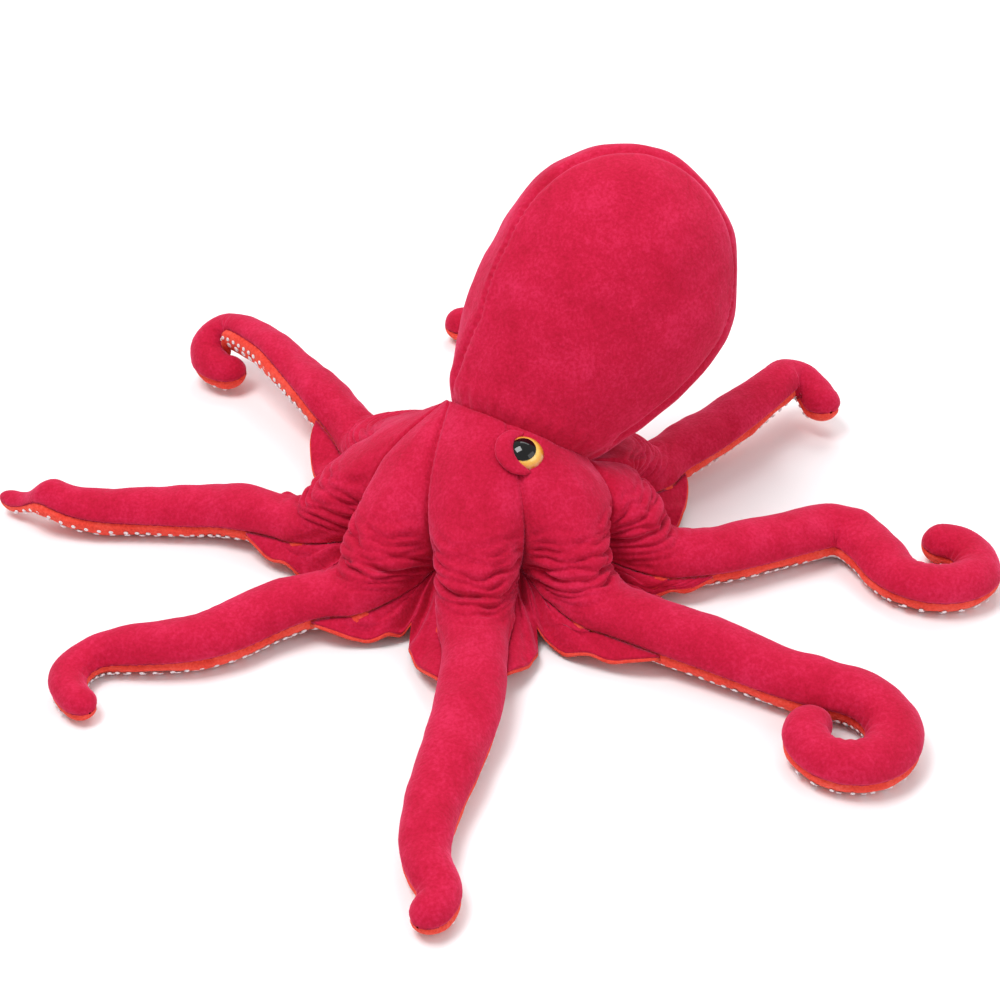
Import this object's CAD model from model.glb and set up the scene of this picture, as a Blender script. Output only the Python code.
import math

import bpy
import numpy as np
from mathutils import Matrix, Vector, noise


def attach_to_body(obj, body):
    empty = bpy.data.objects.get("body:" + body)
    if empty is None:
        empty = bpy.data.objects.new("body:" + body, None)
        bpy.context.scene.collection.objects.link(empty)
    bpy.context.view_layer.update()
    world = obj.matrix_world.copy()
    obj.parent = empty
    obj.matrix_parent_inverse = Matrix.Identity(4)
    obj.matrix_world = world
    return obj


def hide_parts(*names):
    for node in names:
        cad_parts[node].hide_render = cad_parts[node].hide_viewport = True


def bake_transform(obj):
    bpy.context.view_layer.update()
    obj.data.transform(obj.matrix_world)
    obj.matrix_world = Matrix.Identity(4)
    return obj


MM = 0.001
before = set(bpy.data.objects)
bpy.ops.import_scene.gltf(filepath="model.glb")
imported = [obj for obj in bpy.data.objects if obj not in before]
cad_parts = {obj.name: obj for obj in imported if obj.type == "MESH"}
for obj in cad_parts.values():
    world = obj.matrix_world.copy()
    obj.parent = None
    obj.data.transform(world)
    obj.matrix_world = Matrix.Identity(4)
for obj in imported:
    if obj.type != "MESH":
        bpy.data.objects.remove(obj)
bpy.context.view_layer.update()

# ---------- sizes shared with the CAD source ----------
EYE_R = 10.0
HINGE_R = 96.0
VALLEY_R = 61.0  # the seams end a little further in and higher than the CAD's plain valleys
BASE_R = 65.0
RIM_R = HINGE_R + 2
RIM_H = 37.0
VALLEY_H = 27.0
NECK = np.array([4.0, 15.0, 72.0])
NECK_HALF_W = 41.0
NECK_HALF_T = 32.0
BULGE = np.array([7, 7, 7, 7, 7, 2, 1, 5.0])
MANTLE_LEN = 162.0
MANTLE_HALF_W = 67.0
MANTLE_FLATNESS = 0.74
LEAN_BACK, LEAN_SIDE, LEAN_TWIST = 23, 33, 14
WIDEST_AT = 85.0
CROWN = MANTLE_LEN - WIDEST_AT
CROWN_SHIFT, NECK_SHIFT = 15.0, 2.0
GUSSET_FRONT, GUSSET_BACK, GUSSET_NECK, GUSSET_FLARE = 24.0, 13.0, 6.0, 0.4
ROOT_W, ARM_W, TIP_W = 25.0, 17.5, 11.5
ROOT_H, ARM_H, TIP_H = 15.0, 13.5, 10.5
FLOOR_GAP, ROOT_LIFT, NECK_DOWN = 0.4, 3.0, 0.2
SEAM_ANGLE = -8.0

# name, root bearing, first heading, neck angles of its gore, steps of (run, turn left, lift, roll)
ARMS = [
    ("left_1", -60, -99, 270, 288, [(30, 15, 2, 0), (30, 20, 0, 0), (33, -32, 0, 0), (30, -10, 0, 0),
                                    (18, 50, 0, 0), (18, 55, 0, 0), (14, 30, 0, 0)]),
    ("left_2", -19, -12, -72, -10, [(45, -8, 2, 0), (50, -11, 0, 0), (40, 6, 0, 0), (20, 17, 0, 0),
                                    (16, 24, 0, 0), (16, -70, 0, 0)]),
    ("left_3", 20, 41, -10, 72, [(50, 6, 2, 0), (46, -3, 0, 0), (34, 12, 0, 0), (24, -45, 0, 0),
                                 (24, -52, 0, 0), (22, -58, 0, 0), (20, -62, 0, 0), (16, -48, 0, 0),
                                 (5, -8, 0, 0)]),
    ("left_4", 53, 70, 72, 90, [(40, 30, 2, 0), (52, 0, 0, 0), (22, -78, 0, 0), (26, -25, 0, 0),
                                (28, 60, 0, 0), (26, 60, 0, 0), (22, 64, 0, 0), (20, 60, 0, 0)]),
    ("right_4", 101, 120, 90, 108, [(50, -4, 8, 0), (50, 5, 16, 0), (18, 5, 19, 0), (15, -90, 15, 0),
                                    (13, -30, 6, 0)]),
    ("right_3", 160, 168, 108, 180, [(50, -4, 2, 0), (54, 0, 0, 0), (20, 45, 0, 0), (20, 60, 0, 0)]),
    ("right_2", -151, -157, 180, 252, [(50, -2, 12, 25), (50, 0, 18, 40), (43, 10, 18, 40),
                                       (14, 85, 14, 30), (14, 80, 6, 20), (14, 50, 2, 0)]),
    ("right_1", -101, -126, 252, 270, [(45, 2, 2, 0), (20, 18, 0, 0), (50, 2, 0, 10), (20, -14, 2, 20),
                                       (14, -8, 10, 20), (20, -8, 2, 0)]),
]
COUNT = len(ARMS)


# ---------- vectors ----------
def sin_d(a):
    return np.sin(np.radians(a))


def cos_d(a):
    return np.cos(np.radians(a))


def polar(r, bearing, z):
    return np.stack(np.broadcast_arrays(r * cos_d(bearing), r * sin_d(bearing), z), -1).astype(float)


def lerp(a, b, f):
    return a + (b - a) * f


def unit(v):
    return v / np.maximum(np.linalg.norm(v, axis=-1, keepdims=True), 1e-9)


def turn(axis, angle):
    return np.array(Matrix.Rotation(math.radians(angle), 3, axis))


MANTLE_TURN = turn("Z", -LEAN_TWIST) @ turn("Y", -LEAN_SIDE) @ turn("X", -LEAN_BACK)
SIDE, BACK, LONG = MANTLE_TURN.T


def ripple(points, size, seed, depth=1.0):
    """Smooth noise at points, with features about size millimetres across."""
    flat_points = np.asarray(points, float).reshape(-1, 3) / size + seed * 17.3
    values = [noise.noise(Vector(p)) for p in flat_points]
    return depth * np.array(values).reshape(np.shape(points)[:-1])


def bell(x, width):
    return np.exp(-((x / width) ** 2))


def ease(x, low, high):
    f = np.clip((x - low) / (high - low), 0, 1)
    return f * f * (3 - 2 * f)


# ---------- head and arm surfaces ----------
def bearing_of(i):
    return ARMS[i % COUNT][1]


def gap_after(i):
    return (bearing_of(i + 1) - bearing_of(i) + 720) % 360


def gore_bearing(i, v):
    return bearing_of(i) + np.where(v < 0, v * gap_after(i - 1) / 2, v * gap_after(i) / 2)


def head_out(i, v):
    b = gore_bearing(i, v)
    return np.stack([0.6 * cos_d(b), 0.6 * sin_d(b), 0.8 + 0 * b], -1)


def head_point(i, v, t):
    v, t = np.broadcast_arrays(np.asarray(v, float), np.asarray(t, float))
    angle = lerp(ARMS[i][3], ARMS[i][4], (v + 1) / 2)[..., None]
    top = NECK + SIDE * NECK_HALF_T * cos_d(angle) + BACK * NECK_HALF_W * sin_d(angle)
    deep = np.clip(t, 0, 1) ** 2
    rim = polar(RIM_R - (RIM_R - VALLEY_R) * deep * np.abs(v) ** 2.5, gore_bearing(i, v),
                RIM_H - (RIM_H - VALLEY_H) * deep * np.abs(v) ** 3)
    beside = np.where(v < 0, BULGE[(i - 1) % COUNT], BULGE[(i + 1) % COUNT])
    swell = lerp(BULGE[i], beside, np.abs(v) / 2) * sin_d(180 * t) * (1 - 0.2 * np.abs(v))
    return lerp(top, rim, t[..., None]) + head_out(i, v) * swell[..., None]


def smoothed(values, spacing, width):
    reach = int(3 * width / spacing)
    kernel = np.exp(-0.5 * (np.arange(-reach, reach + 1) * spacing / width) ** 2)
    kernel /= kernel.sum()
    return np.convolve(np.pad(values, reach, mode="edge"), kernel, mode="valid")


# Some tips are thinner than the rest, as a share of the usual width
TIP_THIN = {"left_1": 0.76, "left_2": 0.84, "right_1": 0.55}


def arm_line(arm, spacing=2.0):
    """The arm's middle line, evenly sampled: distance, centre, heading, roll, half width, half height."""
    total = sum(step[0] for step in arm[5])
    count = int(round(total / spacing))
    d = np.linspace(0, total, count + 1)
    ends = np.cumsum([0] + [step[0] for step in arm[5]])
    headings = arm[2] + np.cumsum([0] + [step[1] for step in arm[5]])
    heading = smoothed(np.interp(d, ends, headings), d[1], 4)
    lift = smoothed(np.interp(d, ends, [ROOT_LIFT] + [step[2] for step in arm[5]]), d[1], 6)
    roll = smoothed(np.interp(d, ends, [0] + [step[3] for step in arm[5]]), d[1], 8)
    middle = (heading[1:] + heading[:-1]) / 2
    moves = np.stack([cos_d(middle), sin_d(middle)], 1) * d[1]
    xy = polar(HINGE_R, arm[1], 0.0)[:2] + np.vstack([[0, 0], np.cumsum(moves, 0)])
    f = d / total

    def size(root, past, tip):
        return np.where(f < NECK_DOWN, lerp(root, past, sin_d(90 * f / NECK_DOWN)),
                        lerp(past, tip, (f - NECK_DOWN) / (1 - NECK_DOWN)))
    pinch = bell(d - 12, 22)
    start = 0.84 if arm[0] == "right_1" else 0.5
    thin = lerp(1, TIP_THIN.get(arm[0], 1), ease(f, start, 0.97))
    w = size(ROOT_W, ARM_W, TIP_W) * (1 - 0.2 * pinch) * thin
    h = size(ROOT_H, ARM_H, TIP_H) * (1 - 0.05 * pinch) * thin
    centre = np.column_stack([xy, lift + FLOOR_GAP + h])
    caps = np.array([12, 24, 36, 47, 57, 66, 74, 81, 86.0])
    forward = np.array([cos_d(heading[-1]), sin_d(heading[-1]), 0])
    tip_centre = centre[-1] + forward * TIP_W * sin_d(caps)[:, None]
    line = {
        "d": np.concatenate([d, total + TIP_W * sin_d(caps)]),
        "centre": np.vstack([centre, tip_centre]),
        "heading": np.concatenate([heading, np.full(len(caps), heading[-1])]),
        "roll": np.concatenate([roll, np.full(len(caps), roll[-1])]),
        "w": np.concatenate([w, w[-1] * cos_d(caps)]),
        "h": np.concatenate([h, h[-1] * cos_d(caps)]),
    }
    line["bend"] = np.gradient(np.radians(line["heading"]), line["d"])
    return line


def rings(line, rows, angles):
    x = line["w"][rows, None] * cos_d(angles)
    y = line["h"][rows, None] * sin_d(angles)
    roll, heading = line["roll"][rows, None], line["heading"][rows, None]
    across = x * cos_d(roll) - y * sin_d(roll)
    up = x * sin_d(roll) + y * cos_d(roll)
    across_arm = np.stack([-across * sin_d(heading), across * cos_d(heading), up], -1)
    return line["centre"][rows, None] + across_arm


def normals_of(grid, outward):
    n = unit(np.cross(np.gradient(grid, axis=0), np.gradient(grid, axis=1)))
    return n * np.where((n * outward).sum(-1, keepdims=True).mean() < 0, -1.0, 1.0)


# ---------- meshes ----------
def add_mesh(name, points, faces):
    mesh = bpy.data.meshes.new(name)
    mesh.from_pydata((np.asarray(points).reshape(-1, 3) * MM).tolist(), [], faces)
    mesh.polygons.foreach_set("use_smooth", [True] * len(mesh.polygons))
    mesh.update()
    obj = bpy.data.objects.new(name, mesh)
    bpy.context.scene.collection.objects.link(obj)
    return obj


def shell(name, outer, inner, flip):
    """A closed piece of fabric between two grids of points."""
    rows, cols = outer.shape[:2]
    ids = np.arange(rows * cols).reshape(rows, cols)
    a, b, c, d = ids[:-1, :-1], ids[:-1, 1:], ids[1:, 1:], ids[1:, :-1]
    top = np.stack([a, b, c, d], -1).reshape(-1, 4)
    under = top[:, ::-1] + rows * cols
    edge = np.concatenate([ids[0, :-1], ids[:-1, -1], ids[-1, :0:-1], ids[:0:-1, 0]])
    after = np.roll(edge, -1)
    rim = np.stack([after, edge, edge + rows * cols, after + rows * cols], -1)
    faces = np.concatenate([top, under, rim])
    if flip:
        faces = faces[:, ::-1]
    return add_mesh(name, np.concatenate([outer.reshape(-1, 3), inner.reshape(-1, 3)]), faces.tolist())


def is_flipped(grid, outward):
    n = np.cross(np.gradient(grid, axis=1), np.gradient(grid, axis=0))
    return (n * outward).sum(-1).mean() > 0


# ---------- materials ----------
def wire(tree, a, b):
    tree.links.new(a, b)


def noise_node(tree, coord, scale, detail, roughness=0.5):
    node = tree.nodes.new("ShaderNodeTexNoise")
    node.inputs["Scale"].default_value = scale
    node.inputs["Detail"].default_value = detail
    node.inputs["Roughness"].default_value = roughness
    wire(tree, coord, node.inputs["Vector"])
    return node.outputs["Fac"]


def mixed(tree, a, b, share):
    node = tree.nodes.new("ShaderNodeMix")
    node.inputs["Factor"].default_value = share
    wire(tree, a, node.inputs["A"])
    wire(tree, b, node.inputs["B"])
    return node.outputs["Result"]


def srgb(r, g, b):
    return tuple(((c / 255 + 0.055) / 1.055) ** 2.4 if c > 10 else c / 3294.6 for c in (r, g, b)) + (1.0,)


def plush(name, colours, sheen, tint, patch=38, pile=620, depth=0.0009):
    """Short-pile plush: patches where the pile is brushed another way, a fine fibre grain, and sheen."""
    material = bpy.data.materials.new(name)
    material.use_nodes = True
    tree = material.node_tree
    shader = tree.nodes["Principled BSDF"]
    shader.inputs["Roughness"].default_value = 0.9
    shader.inputs["Specular IOR Level"].default_value = 0.15
    shader.inputs["Sheen Weight"].default_value = sheen
    shader.inputs["Sheen Roughness"].default_value = 0.42
    shader.inputs["Sheen Tint"].default_value = tint
    coord = tree.nodes.new("ShaderNodeTexCoord").outputs["Object"]
    brushed = noise_node(tree, coord, patch, 3, 0.55)
    grain = noise_node(tree, coord, pile, 3, 0.6)
    tufts = noise_node(tree, coord, pile * 0.36, 2, 0.5)
    value = mixed(tree, brushed, mixed(tree, tufts, grain, 0.75), 0.6)
    ramp = tree.nodes.new("ShaderNodeValToRGB")
    ramp.color_ramp.elements[0].position = 0.34
    ramp.color_ramp.elements[0].color = colours[0]
    ramp.color_ramp.elements[1].position = 0.66
    ramp.color_ramp.elements[1].color = colours[2]
    ramp.color_ramp.elements.new(0.5).color = colours[1]
    wire(tree, value, ramp.inputs["Fac"])
    wire(tree, ramp.outputs["Color"], shader.inputs["Base Color"])
    bump = tree.nodes.new("ShaderNodeBump")
    bump.inputs["Strength"].default_value = 0.7
    bump.inputs["Distance"].default_value = depth
    wire(tree, mixed(tree, tufts, grain, 0.55), bump.inputs["Height"])
    wire(tree, bump.outputs["Normal"], shader.inputs["Normal"])
    return material


CRIMSON = plush("crimson_pile", (srgb(170, 12, 43), srgb(188, 20, 57), srgb(206, 37, 78)), 0.6,
                srgb(255, 116, 160))
CORAL = plush("coral_pile", (srgb(206, 50, 42), srgb(229, 70, 57), srgb(238, 96, 82)), 0.4,
              srgb(255, 150, 130), patch=60, pile=800)


def plastic(name, colour, roughness, coat, speck=None):
    material = bpy.data.materials.new(name)
    material.use_nodes = True
    tree = material.node_tree
    shader = tree.nodes["Principled BSDF"]
    shader.inputs["Roughness"].default_value = roughness
    shader.inputs["Coat Weight"].default_value = coat
    shader.inputs["Coat Roughness"].default_value = 0.03
    coord = tree.nodes.new("ShaderNodeTexCoord").outputs["Object"]
    ramp = tree.nodes.new("ShaderNodeValToRGB")
    ramp.color_ramp.elements[0].color = colour
    ramp.color_ramp.elements[1].color = speck or colour
    wire(tree, noise_node(tree, coord, 900, 2), ramp.inputs["Fac"])
    wire(tree, ramp.outputs["Color"], shader.inputs["Base Color"])
    return material


def iris_material():
    """Amber that darkens to brown at the rim and glows round the pupil, by distance from the eye's axis."""
    material = plastic("amber_iris", srgb(236, 178, 60), 0.25, 1.0)
    tree = material.node_tree
    coord = tree.nodes.new("ShaderNodeTexCoord").outputs["Object"]
    flatten = tree.nodes.new("ShaderNodeVectorMath")
    flatten.operation = "MULTIPLY"
    flatten.inputs[1].default_value = (1, 1, 0)
    wire(tree, coord, flatten.inputs[0])
    length = tree.nodes.new("ShaderNodeVectorMath")
    length.operation = "LENGTH"
    wire(tree, flatten.outputs[0], length.inputs[0])
    share = tree.nodes.new("ShaderNodeMath")
    share.operation = "DIVIDE"
    share.inputs[1].default_value = EYE_R * MM
    wire(tree, length.outputs["Value"], share.inputs[0])
    ramp = tree.nodes.new("ShaderNodeValToRGB")
    stops = [(0.0, srgb(250, 214, 120)), (0.62, srgb(248, 205, 96)), (0.8, srgb(236, 168, 52)),
             (0.93, srgb(196, 104, 26)), (1.0, srgb(120, 48, 16))]
    ramp.color_ramp.elements[0].color = stops[0][1]
    ramp.color_ramp.elements[1].color = stops[-1][1]
    for position, colour in stops[1:-1]:
        ramp.color_ramp.elements.new(position).color = colour
    wire(tree, share.outputs[0], ramp.inputs["Fac"])
    wire(tree, ramp.outputs["Color"], tree.nodes["Principled BSDF"].inputs["Base Color"])
    return material


IRIS = iris_material()
PUPIL = plastic("black_pupil", srgb(4, 4, 5), 0.08, 0.25, srgb(8, 7, 8))
PUPIL.node_tree.nodes["Principled BSDF"].inputs["Specular IOR Level"].default_value = 0.35
SILVER = plastic("silver_print", srgb(214, 208, 212), 0.35, 0.3, srgb(236, 232, 236))
WASHER = plastic("milky_washer", srgb(220, 222, 224), 0.3, 0.2, srgb(206, 208, 212))


def dress(obj, material):
    obj.data.materials.clear()
    obj.data.materials.append(material)
    return obj


# ---------- arms with their gores ----------
GORE_ROWS = 62
JOIN_AT = 8.0  # where along the arm the gore's surface has turned into the arm's
V = np.sin(np.linspace(-math.pi / 2, math.pi / 2, 47))
# Creases of the root: distance past the head's rim, depth and width
ROOT_CREASES = [(0, 4.2, 1.5), (-5, 2.5, 1.2), (-9.5, 3.2, 1.2), (-14.5, 2.3, 1.2), (-19, 1.8, 1.3),
                (-24, 1.1, 1.5), (5, 2.8, 1.2), (10, 1.7, 1.3), (16, 1.0, 1.6)]


def root_folds(reach, v, seed):
    """Creases where the arm is gathered onto the head: reach is the distance past the head's rim."""
    line_points = np.stack([v * 2.2, 0 * v + seed, 0 * v], -1)
    total = 0 * reach
    for k, (at, depth, width) in enumerate(ROOT_CREASES):
        sway = 4.0 * ripple(line_points, 0.9, seed + k)
        strength = depth * (0.8 + 1.1 * ripple(line_points, 0.6, seed + 20 + k))
        total -= np.maximum(strength, 0) * bell(reach - at - sway, width)
    return total * (1 - 0.75 * ease(np.abs(v), 0.82, 1.0))


def bend_folds(line, rows, points, side, seed):
    """Soft wrinkles on the inner side of a bend."""
    bend = line["bend"][rows, None] * line["w"][rows, None]
    inner = np.clip(side * np.sign(bend), 0, 1) * np.clip(np.abs(bend) - 0.12, 0, 0.6)
    waves = np.cos(2 * math.pi * line["d"][rows, None] / 8.5 + 3 * ripple(points, 22, seed))
    return 2.4 * inner * (0.5 * waves - 0.4)


def arm_skin(i):
    """The crimson fabric of one gore and the top of its arm, from the neck to the tip."""
    arm = ARMS[i]
    line = arm_line(arm)
    t = sin_d(np.linspace(0, 90, GORE_ROWS))
    gore = head_point(i, V[None, :], t[:, None])
    rows = np.nonzero(line["d"] >= JOIN_AT)[0]
    arm_rows = rings(line, rows, 90 - (90 - SEAM_ANGLE) * V)
    start, end = gore[-1], arm_rows[0]
    chord = np.linalg.norm(end - start, axis=-1, keepdims=True)
    leave = unit(gore[-1] - gore[-2]) * chord * (0.8 - 0.35 * np.abs(V))[:, None]
    arrive = unit(arm_rows[1] - arm_rows[0]) * chord * 0.9
    u = np.linspace(0, 1, 30)[1:-1, None, None]
    bridge = ((2 * u**3 - 3 * u**2 + 1) * start + (u**3 - 2 * u**2 + u) * leave
              + (3 * u**2 - 2 * u**3) * end + (u**3 - u**2) * arrive)
    grid = np.concatenate([gore, bridge, arm_rows])
    outward = np.concatenate([np.broadcast_to(head_out(i, V), gore.shape),
                              np.broadcast_to(head_out(i, V), bridge.shape),
                              arm_rows - line["centre"][rows][:, None]])
    normal = normals_of(grid, outward)
    row_steps = np.linalg.norm(np.diff(grid, axis=0), axis=-1)
    reach = np.concatenate([[np.zeros(len(V))], np.cumsum(row_steps, 0)])
    reach -= reach[len(gore) - 1]
    from_seam = np.minimum(np.linalg.norm(grid - grid[:, :1], axis=-1),
                           np.linalg.norm(grid - grid[:, -1:], axis=-1))
    arm_size = np.clip(line["w"][rows] / TIP_W, 0.05, 1)
    size = np.concatenate([np.full(len(gore) + len(bridge), 1.0), arm_size])
    v = np.broadcast_to(V, reach.shape)
    lift = ripple(grid, 26, i, 1.5) + ripple(grid, 11, i + 9, 0.7)
    lift += root_folds(reach, v, 3 * i + 1)
    near_valley = ease(np.abs(v), 0.6, 0.95) * bell(reach - 18, 26)
    lift += near_valley * (ripple(grid * [1, 1, 2], 9, i + 30, 2.6) - 0.6)
    lift[len(gore) + len(bridge):] += bend_folds(line, rows, arm_rows, v[:len(rows)], i + 50)
    pucker = 1 + 0.3 * np.cos(2 * math.pi * reach / 4.6)
    lift *= ease(from_seam, 0, 5)
    lift -= 1.5 * pucker * bell(from_seam, 1.5)
    # beside a head seam both gores move the same way, so that they still meet
    shared = head_out(i, np.sign(V))
    at_seam = (bell(from_seam, 7) * (np.arange(len(grid)) < len(gore) + 4)[:, None])[..., None]
    normal = unit(lerp(normal, shared, at_seam))
    grid = grid + normal * (lift * size[:, None])[..., None]
    # the edges turn in: under the neck seam, and into the side seams
    tuck = lerp(grid[0], NECK - LONG * 4, 0.16)[None]
    grid = np.concatenate([tuck, grid])
    normal = np.concatenate([normal[:1], normal])
    size = np.concatenate([[1.0], size])
    sides = [(grid[:, e] - normal[:, e] * (2.6 * size)[:, None])[:, None] for e in (0, -1)]
    grid = np.concatenate([sides[0], grid, sides[1]], 1)
    normal = np.concatenate([normal[:, :1], normal, normal[:, -1:]], 1)
    grid[..., 2] = np.maximum(grid[..., 2], 1.0)
    inner = grid - normal * (1.4 * size)[:, None, None]
    skin = shell(f"skin_{arm[0]}", grid, inner, is_flipped(grid, normal))
    return skin, grid, line


def arm_sole(i, line):
    """The coral underside of an arm, with its edges turned into the side seams."""
    arm = ARMS[i]
    back = np.array([75, 50, 25.0])
    across_sole = 0.5 - 0.5 * np.cos(np.linspace(0, math.pi, 41))
    first, last = 180 - SEAM_ANGLE, 360 + SEAM_ANGLE
    angles = np.concatenate([[first], lerp(first, last, across_sole), [last]])
    rows = np.arange(len(line["d"]))
    grid = rings(line, rows, angles)
    heading = np.array([cos_d(arm[2]), sin_d(arm[2]), 0])
    caps = [line["centre"][0] - heading * ROOT_H * sin_d(c) + (grid[0] - line["centre"][0]) * cos_d(c)
            for c in back]
    grid = np.concatenate([caps, grid])
    centre = np.concatenate([[line["centre"][0]] * 3, line["centre"]])
    normal = normals_of(grid[:, 1:-1], grid[:, 1:-1] - centre[:, None])
    normal = np.concatenate([normal[:, :1], normal, normal[:, -1:]], 1)
    size = np.concatenate([np.ones(3), np.clip(line["w"] / TIP_W, 0.05, 1)])
    from_seam = np.minimum(np.linalg.norm(grid - grid[:, :1], axis=-1),
                           np.linalg.norm(grid - grid[:, -1:], axis=-1))
    along = np.concatenate([[-14, -11, -6], line["d"]])[:, None]
    lift = ripple(grid, 20, i + 70, 1.2) + ripple(grid, 8, i + 80, 0.5)
    lift *= ease(from_seam, 0, 5)
    lift -= 1.6 * (1 + 0.3 * np.cos(2 * math.pi * along / 4.6)) * bell(from_seam, 1.5)
    grid = grid + normal * (lift * size[:, None])[..., None]
    for edge in (0, -1):
        grid[:, edge] -= normal[:, edge] * (2.6 * size)[:, None]
    grid[..., 2] = np.maximum(grid[..., 2], 0.4)
    inner = grid - normal * (1.4 * size)[:, None, None]
    return shell(f"sole_{arm[0]}", grid, inner, is_flipped(grid, normal))


# Rows of suckers: angle round the arm, radius, distance apart and start
SUCKER_ROWS = [(214, 1.7, 6.2, 0), (233, 2.4, 8.0, 2.8), (307, 2.4, 8.0, 0), (326, 1.7, 6.2, 2.8)]


def arm_suckers(i, line):
    """Two rows of round silver suckers on each half of the sole, smaller towards the tip."""
    profile = [(1.0, -0.1), (0.96, 0.35), (0.7, 0.55), (0.4, 0.3), (0.0, 0.22)]
    points, faces = [], []
    total = line["d"][-1] - TIP_W
    for angle, base, pitch, shift in SUCKER_ROWS:
        for at in np.arange(14 + shift, total + 2, pitch):
            row = int(np.argmin(np.abs(line["d"] - at)))
            ring_points = rings(line, np.array([row, row + 1]), np.array([angle - 6.0, angle, angle + 6.0]))
            here, ahead = ring_points[0, 1], unit(ring_points[1, 1] - ring_points[0, 1])
            out = unit(np.cross(ahead, ring_points[0, 2] - ring_points[0, 0]))
            if out @ (here - line["centre"][row]) < 0:
                out = -out
            across = np.cross(out, ahead)
            r = base * lerp(1.0, 0.6, at / total)
            first = len(points)
            for share, height in profile[:-1]:
                for k in range(12):
                    a = 2 * math.pi * k / 12
                    points.append(here + out * (height * 1.2 + 0.2) + share * r * (
                        ahead * math.cos(a) + across * math.sin(a)))
            points.append(here + out * (profile[-1][1] * 1.2 + 0.2))
            for level in range(3):
                for k in range(12):
                    a, b = first + level * 12 + k, first + level * 12 + (k + 1) % 12
                    faces.append((a, b, b + 12, a + 12))
            top = first + 48
            for k in range(12):
                faces.append((first + 36 + k, first + 36 + (k + 1) % 12, top))
            faces.append(tuple(first + k for k in range(11, -1, -1)))
    points = np.array(points)
    points[:, 2] = np.maximum(points[:, 2], 0.2)
    return add_mesh(f"suckers_{ARMS[i][0]}", points, faces)


skins, lines = [], []
for i, arm in enumerate(ARMS):
    name, body = arm[0], f"arm_{arm[0]}"
    skin, grid, line = arm_skin(i)
    skins.append(grid)
    lines.append(line)
    sole = arm_sole(i, line)
    suckers = arm_suckers(i, line)
    hinge = polar(HINGE_R, arm[1], ROOT_LIFT + FLOOR_GAP + ROOT_H) * MM
    ahead = polar(1, arm[2], 0.0) * MM
    for piece in (skin, sole, suckers):
        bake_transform(piece)
    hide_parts(f"head_gore_{name}", f"arm_{name}_upper", f"arm_{name}_stuffing")
    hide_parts(f"arm_{name}_under")
    dress(skin, CRIMSON)
    dress(sole, CORAL)
    dress(suckers, SILVER)

# ---------- webs ----------
# Each web: how far along the seams of its two arms it is sewn, and how far out its edge stands between them
WEBS = {"left_1": (80, 84, 33), "left_2": (76, 96, 31), "left_3": (92, 78, 25), "left_4": (78, 70, 36),
        "right_4": (66, 68, 34), "right_3": (70, 72, 34), "right_2": (84, 80, 34), "right_1": (84, 72, 30)}
LAYER = 1.3


def side_curve(i, column, lengths):
    """Points along the side seam of arm i at these distances from the valley."""
    edge = skins[i][GORE_ROWS + 1:, column]
    travelled = np.concatenate([[0], np.cumsum(np.linalg.norm(np.diff(edge, axis=0), axis=-1))])
    return np.stack([np.interp(lengths, travelled, edge[:, k]) for k in range(3)], -1)


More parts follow.
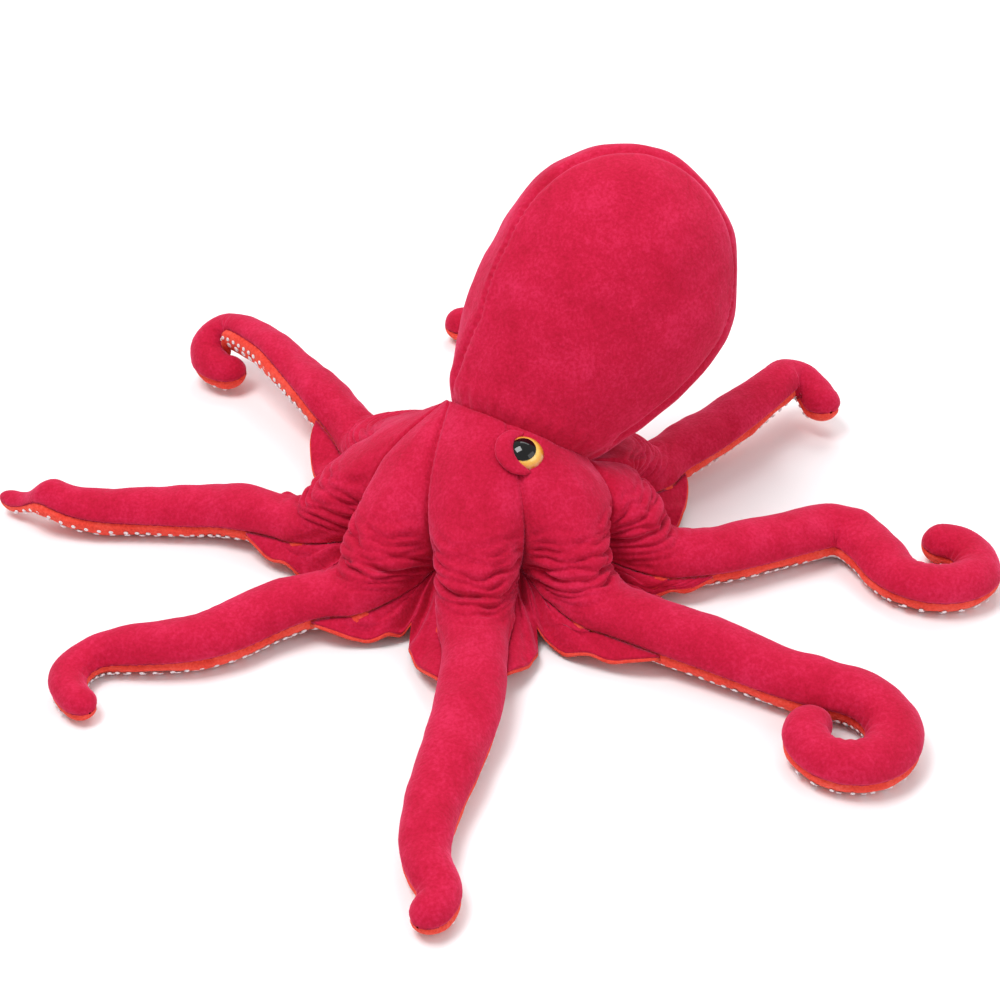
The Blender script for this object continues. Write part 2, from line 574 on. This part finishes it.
def web_half(i, flip):
    """Half of the web after arm i, from the middle of the valley to the side of arm i, or of the next."""
    owner = i if not flip else (i + 1) % COUNT
    mid_bearing = bearing_of(i) + gap_after(i) / 2
    near_attach, far_attach, mid = WEBS[ARMS[i][0]]
    attach = far_attach if flip else near_attach
    g = np.linspace(0, 1, 44)
    c = np.linspace(0, 1, 22)
    side = side_curve(owner, -2 if not flip else 1, g * attach)
    middle = polar(VALLEY_R - 2 + mid * g, mid_bearing, VALLEY_H - 2 - 13 * ease(g, 0, 1))
    base = lerp(middle[:, None], side[:, None], c[None, :, None])
    hump = 6.75 * c * (1 - c) ** 2  # highest a third of the way, and level where it meets the arm
    tone = hump[None, :] * ease(g, 0.05, 0.5)[:, None]
    pleats = np.cos(2 * math.pi * (1.6 * c[None, :] + 0.25 * g[:, None]) + 2.0 * ripple(base, 25, i + 5))
    drop = -7 * hump[None, :] * g[:, None]
    lift = tone * (2.8 * pleats + ripple(base, 13, i + 100 + flip, 5.0)) + drop
    lift += ease(g, 0.8, 1)[:, None] * ripple(base, 7, i + 120 + flip, 2.2) * tone
    # the middle line is shared with the other half, so it keeps its own height
    ridge = 3.0 * bell((g - 0.55) * 3, 1.0)[:, None] * (1 - c)[None, :] ** 2
    # the free edge bows away from the arm, so that the web shows beside it
    bow = 0.09 * attach * sin_d(180 * np.minimum(c, 0.999))[None, :] * ease(g, 0.2, 1)[:, None]
    top = base + np.array([0, 0, 1]) * (lift + ridge)[..., None]
    away_from_arm = np.cross([0, 0, 1], unit(side[-1] - side[0])) * (-1 if flip else 1)
    proud = 1.6 * bell((c - 0.85) * 8, 1.4)[None, :] * ease(g, 0.1, 0.4)[:, None]
    top += away_from_arm * (bow + proud)[..., None]
    top[..., 2] = np.maximum(top[..., 2], 3.4)
    pieces = []
    out = polar(1, mid_bearing, 0.0)
    for layer, material, slot in ((0, CRIMSON, "crimson_plush"), (1, CORAL, "coral_plush")):
        grid = top - np.array([0, 0, 1]) * (layer * (LAYER + 0.2))
        if layer:
            grid = grid + out * (0.7 * ease(g, 0.85, 1))[:, None, None]
        inner = grid - np.array([0, 0, LAYER])
        grid[..., 2] = np.maximum(grid[..., 2], LAYER + 0.5 - 0.2 * layer)
        inner[..., 2] = np.maximum(inner[..., 2], 0.3)
        name = f"web_{ARMS[i][0]}_{'far' if flip else 'near'}_{'under' if layer else 'top'}"
        outward = np.broadcast_to(np.array([0, 0, 1.0]), grid.shape)
        piece = shell(name, grid, inner, is_flipped(grid, outward))
        dress(piece, material)
        pieces.append(piece)
    # the fabric follows the arm as the arm's own skin does, and its middle line stays with the head
    arm = ARMS[owner]
    ahead = polar(1, arm[2], 0.0)
    hinge = polar(HINGE_R, arm[1], 0.0)
    foot = polar(VALLEY_R, mid_bearing, 10.0)
    for piece in pieces:
        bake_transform(piece)
    return pieces


for i in range(COUNT):
    halves = web_half(i, False) + web_half(i, True)
    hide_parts(f"web_after_{ARMS[i][0]}")

# ---------- base panel and the filling above it ----------
def base_panel():
    bearings = np.concatenate([gore_bearing(i, np.linspace(-1, 1, 13)[:-1]) for i in range(COUNT)])
    reach = np.concatenate([BASE_R + 18 * (1 - np.linspace(-1, 1, 13)[:-1] ** 2)] * COUNT)
    rings_at = [(0.04, 3.0), (0.2, 2.4), (0.4, 1.4), (0.6, 0.8), (0.8, 0.5), (0.94, 0.6), (0.985, 1.6),
                (1.0, 4.0), (0.985, 9.0), (0.95, 15.0)]
    grid = np.array([polar(reach * share, bearings, z) for share, z in rings_at])
    grid = np.concatenate([grid, grid[:, :1]], 1)
    lift = ripple(grid, 16, 200, 0.5) + ripple(grid, 7, 201, 0.3)
    lift -= 0.5 * bell(np.minimum.reduce([np.abs(cross_track(grid, b)) for b in (0, 90)]), 1.5)
    lift[:, -1] = lift[:, 0]
    grid[..., 2] = np.maximum(grid[..., 2] - 0.8 * lift, 0.3)
    inner = grid + [0, 0, 1.6]
    inner[:, :, :2] *= 0.985
    outward = np.broadcast_to([0, 0, -1.0], grid.shape)
    return shell("base_panel_fabric", grid, inner, is_flipped(grid, outward))


def cross_track(points, bearing):
    return points @ np.array([-sin_d(bearing), cos_d(bearing), 0.0])


base = dress(base_panel(), CORAL)
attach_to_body(base, "head")
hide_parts("base_panel", "head_stuffing")


# ---------- mantle ----------
def mantle_half(s):
    return NECK_HALF_W + (MANTLE_HALF_W - NECK_HALF_W) * sin_d(90 * np.clip(s, 0, WIDEST_AT) / WIDEST_AT)


def baked(obj):
    """Applies the object's modifiers."""
    graph = bpy.context.evaluated_depsgraph_get()
    mesh = bpy.data.meshes.new_from_object(obj.evaluated_get(graph))
    obj.modifiers.clear()
    obj.data = mesh
    mesh.polygons.foreach_set("use_smooth", [True] * len(mesh.polygons))
    return obj


def coords(obj):
    data = np.zeros(len(obj.data.vertices) * 3)
    obj.data.vertices.foreach_get("co", data)
    return data.reshape(-1, 3) / MM


def set_coords(obj, points):
    obj.data.vertices.foreach_set("co", (np.asarray(points) * MM).ravel())
    obj.data.update()


def vertex_normals(obj):
    data = np.zeros(len(obj.data.vertices) * 3)
    obj.data.vertex_normals.foreach_get("vector", data)
    return data.reshape(-1, 3)


def mantle_body():
    """The bag as one closed form: rings up from the neck, then an elliptical crown."""
    below = np.array([-9, -7.5, -4.5, 0.0])
    shrink = np.array([0.35, 0.7, 0.92, 1.0])
    rows = []
    q = np.arange(0, 360, 6.0)
    for s, share in zip(below, shrink):
        half = NECK_HALF_W * share
        rows.append((NECK_HALF_T * share * sin_d(q), NECK_SHIFT + half * cos_d(q), s + 0 * q))
    for s in np.arange(5, WIDEST_AT, 5.0):
        half = mantle_half(s)
        thick = MANTLE_FLATNESS * half + 2 * max(0, 1 - abs(s) / 40)
        middle = NECK_SHIFT + (CROWN_SHIFT - NECK_SHIFT) * s / WIDEST_AT
        rows.append((thick * sin_d(q), middle + half * cos_d(q), s + 0 * q))
    for c in np.arange(0, 90, 5.0):
        half, thick = MANTLE_HALF_W * cos_d(c), MANTLE_FLATNESS * MANTLE_HALF_W * cos_d(c)
        rows.append((thick * sin_d(q), CROWN_SHIFT + half * cos_d(q), WIDEST_AT + CROWN * sin_d(c) + 0 * q))
    grid = np.array([np.stack(row, -1) for row in rows])
    points = NECK + grid @ np.array([SIDE, BACK, LONG])
    n, count = len(q), len(points)
    faces = [(r * n + k, r * n + (k + 1) % n, (r + 1) * n + (k + 1) % n, (r + 1) * n + k)
             for r in range(count - 1) for k in range(n)]
    faces.append(tuple(range(n - 1, -1, -1)))
    faces.append(tuple((count - 1) * n + k for k in range(n)))
    return add_mesh("mantle_skin", points, [face[::-1] for face in faces])


def stuffed(obj, voxel, pressure, cap):
    """Remeshes a closed form evenly and lets cloth under pressure swell it, by at most cap millimetres."""
    remesh = obj.modifiers.new("even", "REMESH")
    remesh.mode = "VOXEL"
    remesh.voxel_size = voxel * MM
    baked(obj)
    smooth = obj.modifiers.new("soft", "SMOOTH")
    smooth.factor, smooth.iterations = 0.5, 4
    baked(obj)
    before = coords(obj) - vertex_normals(obj) * 0.6 * cap
    set_coords(obj, before)
    cloth = obj.modifiers.new("cloth", "CLOTH")
    cloth.settings.use_pressure = True
    cloth.settings.uniform_pressure_force = pressure
    cloth.settings.effector_weights.gravity = 0
    cloth.settings.quality = 6
    cloth.settings.shrink_min = -0.02
    cloth.point_cache.frame_start, cloth.point_cache.frame_end = 1, 20
    for number in range(1, 21):
        bpy.context.scene.frame_set(number)
    baked(obj)
    bpy.context.scene.frame_set(1)
    moved = coords(obj) - before
    far = np.linalg.norm(moved, axis=-1, keepdims=True)
    set_coords(obj, before + moved * np.minimum(1, cap / np.maximum(far, 1e-6)))
    fine = obj.modifiers.new("fine", "SUBSURF")
    fine.levels = fine.render_levels = 2
    return baked(obj)


mantle = stuffed(mantle_body(), 5.0, 3.0, 3.0)
points = coords(mantle)
normal = vertex_normals(mantle)
local = (points - NECK) @ np.array([SIDE, BACK, LONG]).T
local_normal = normal @ np.array([SIDE, BACK, LONG]).T
slope = np.sqrt(np.maximum(0.05, 1 - local_normal[:, 0] ** 2))
above = local[:, 2]
over = np.arctan2(np.maximum(above - WIDEST_AT, 0) / CROWN, -(local[:, 1] - CROWN_SHIFT) / MANTLE_HALF_W)
gusset = np.minimum(lerp(GUSSET_FRONT, GUSSET_BACK, over / math.pi), GUSSET_NECK + GUSSET_FLARE * above)
from_seam = np.abs(np.abs(local[:, 0]) - gusset) / slope
seamed = ease(above, -4, 1)
pucker = 1 + 0.35 * np.cos(2 * math.pi * above / 4.4) * (above < 110)
lift = ripple(points, 42, 300, 2.2) + ripple(points, 17, 301, 0.8)
lift += 0.4 * bell(from_seam - 6, 4)
lift *= ease(from_seam, 0, 6) * ease(above, 2, 16)
lift -= seamed * 1.4 * pucker * bell(from_seam, 1.5)
around = np.degrees(np.arctan2(local[:, 1], local[:, 0]))
gathers = np.cos(np.radians(around * 23)) + 0.7 * np.cos(np.radians(around * 37 + 40))
lift += 0.35 * gathers * bell(above - 5, 6)
lift += 1.8 * bell(above - 8, 6) * ease(local[:, 0], -10, 20)
set_coords(mantle, points + normal * lift[:, None])
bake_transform(mantle)
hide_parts("mantle_side_left", "mantle_side_right", "mantle_gusset", "mantle_stuffing")
dress(mantle, CRIMSON)

# ---------- eyes ----------
DOME_H = 6.0
DOME_R = (EYE_R**2 + DOME_H**2) / (2 * DOME_H)
EYES = [("left", 2, -0.8, 0.17, 262), ("right", 5, 0.8, 0.24, 94)]
SUNK = 1.0


def eye_frame(i, v, t):
    step = 0.02
    p = head_point(i, v, t)
    down = head_point(i, v, t + step) - head_point(i, v, t - step)
    over = head_point(i, min(1, v + step), t) - head_point(i, max(-1, v - step), t)
    n = unit(np.cross(down, over))
    tilt = math.acos(n[2])
    yaw = math.atan2(n[1], n[0])
    turned = Matrix.Rotation(yaw, 4, "Z") @ Matrix.Rotation(tilt, 4, "Y")
    return Matrix.Translation(Vector((p - n * SUNK) * MM)) @ turned


def lathe(name, profile, count=64):
    points = [(r * math.cos(2 * math.pi * k / count), r * math.sin(2 * math.pi * k / count), z)
              for r, z in profile for k in range(count)]
    faces = []
    for a in range(len(profile) - 1):
        for k in range(count):
            after = (k + 1) % count
            faces.append((a * count + k, a * count + after, (a + 1) * count + after, (a + 1) * count + k))
    faces.append(tuple(range(count - 1, -1, -1)))
    faces.append(tuple((len(profile) - 1) * count + k for k in range(count)))
    return add_mesh(name, np.array(points), faces)


def dome_profile(radius, raise_by, steps=22):
    sphere = DOME_R + raise_by
    edge = math.asin(min(1, radius / sphere))
    angles = np.linspace(edge, 0.01, steps)
    return [(sphere * math.sin(a), DOME_H - DOME_R + sphere * math.cos(a)) for a in angles]


def eyelid(side, arc=190):
    """A fold of fabric that laps the front edge of the eye, thick in the middle and thin at its ends."""
    u = np.linspace(0, 1, 40)
    w = np.linspace(0, 2 * math.pi, 24)
    angle = np.radians((u - 0.5) * arc)
    swell = np.sin(np.pi * np.clip(u, 0.02, 0.98)) ** 0.6
    r = 11.0 - (0.2 * swell)[:, None] + (4.9 * swell)[:, None] * np.cos(w)
    z = 0.2 + (2.7 * swell)[:, None] + (3.1 * swell)[:, None] * np.sin(w)
    grid = np.stack([r * np.cos(angle)[:, None], r * np.sin(angle)[:, None], z], -1)
    grid = grid + ripple(grid, 4, 400, 0.35)[..., None] * unit(grid)
    n = grid.shape[1] - 1
    ring_points = grid[:, :-1].reshape(-1, 3)
    faces = [(a * n + k, a * n + (k + 1) % n, (a + 1) * n + (k + 1) % n, (a + 1) * n + k)
             for a in range(len(u) - 1) for k in range(n)]
    faces.append(tuple(range(n - 1, -1, -1)))
    faces.append(tuple((len(u) - 1) * n + k for k in range(n)))
    return add_mesh(f"eyelid_fold_{side}", ring_points, faces)


for side, i, v, t, lid_at in EYES:
    place = eye_frame(i, v, t)
    iris = lathe(f"iris_dome_{side}", [(2.5, -8.0), (2.5, -2.0), (9.2, -1.6), (9.9, -1.0), (EYE_R, -0.2)]
                 + dome_profile(EYE_R, 0))
    pupil = lathe(f"pupil_cap_{side}", [(6.1, 3.0)] + dome_profile(6.5, 0.3))
    lid = eyelid(side)
    iris.matrix_world = place
    centre = Matrix.Translation((0, 0, (DOME_H - DOME_R) * MM))
    glance = Matrix.Rotation(math.radians(lid_at), 4, "Z") @ Matrix.Rotation(math.radians(9), 4, "Y")
    pupil.matrix_world = place @ centre @ glance @ centre.inverted()
    lid.matrix_world = place @ Matrix.Rotation(math.radians(lid_at), 4, "Z")
    dress(iris, IRIS)
    dress(pupil, PUPIL)
    dress(lid, CRIMSON)
    for piece, node in ((iris, "eye_iris"), (pupil, "eye_pupil"), (lid, "eyelid")):
        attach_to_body(piece, "head")
        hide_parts(f"{node}_{side}")
    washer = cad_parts[f"eye_washer_{side}"]
    washer.data.materials.clear()
    washer.data.materials.append(WASHER)

# ---------- stage, lights and camera ----------
bpy.ops.mesh.primitive_plane_add(size=6, location=(0, 0, 0))
floor = bpy.context.object
floor.name = "floor"
FLOOR = plastic("pale_floor", srgb(246, 246, 247), 0.75, 0.0, srgb(243, 243, 245))
floor.data.materials.append(FLOOR)

world = bpy.data.worlds.new("studio")
bpy.context.scene.world = world
world.use_nodes = True
world.node_tree.nodes["Background"].inputs["Color"].default_value = (1, 1, 1, 1)
world.node_tree.nodes["Background"].inputs["Strength"].default_value = 0.58

CAM_BACK = Vector((0.8008, -0.2146, 0.5592)).normalized()
CAM_RIGHT = Vector((0.2588, 0.9659, 0)).normalized()
CAM_UP = CAM_BACK.cross(CAM_RIGHT)
CAM_FROM = (CAM_RIGHT * 5.94 + CAM_UP * 23.22 + CAM_BACK * 1050) * MM


def area_light(name, right, up, back, size, power):
    """A soft square light placed from the camera's side of the object, aimed at the head."""
    data = bpy.data.lights.new(name, "AREA")
    data.size = size
    data.energy = power
    light = bpy.data.objects.new(name, data)
    light.location = CAM_RIGHT * right + Vector((0, 0, up)) + Vector((CAM_BACK.x, CAM_BACK.y, 0)) * back
    light.rotation_euler = (Vector((0, 0, 0.08)) - light.location).to_track_quat("-Z", "Y").to_euler()
    bpy.context.scene.collection.objects.link(light)


area_light("key", -0.6, 1.7, 0.25, 0.8, 22)
area_light("fill", 1.3, 0.9, 1.0, 1.2, 7)
area_light("rim", 0.3, 1.3, -1.3, 1.0, 10)

camera_data = bpy.data.cameras.new("camera")
camera_data.lens = 70
camera_data.sensor_width = 36
camera_data.clip_start = 0.05
camera = bpy.data.objects.new("camera", camera_data)
turned = Matrix((CAM_RIGHT, CAM_UP, CAM_BACK)).transposed().to_4x4()
camera.matrix_world = Matrix.Translation(CAM_FROM) @ turned
bpy.context.scene.collection.objects.link(camera)
bpy.context.scene.camera = camera
bpy.context.scene.view_settings.view_transform = "Standard"
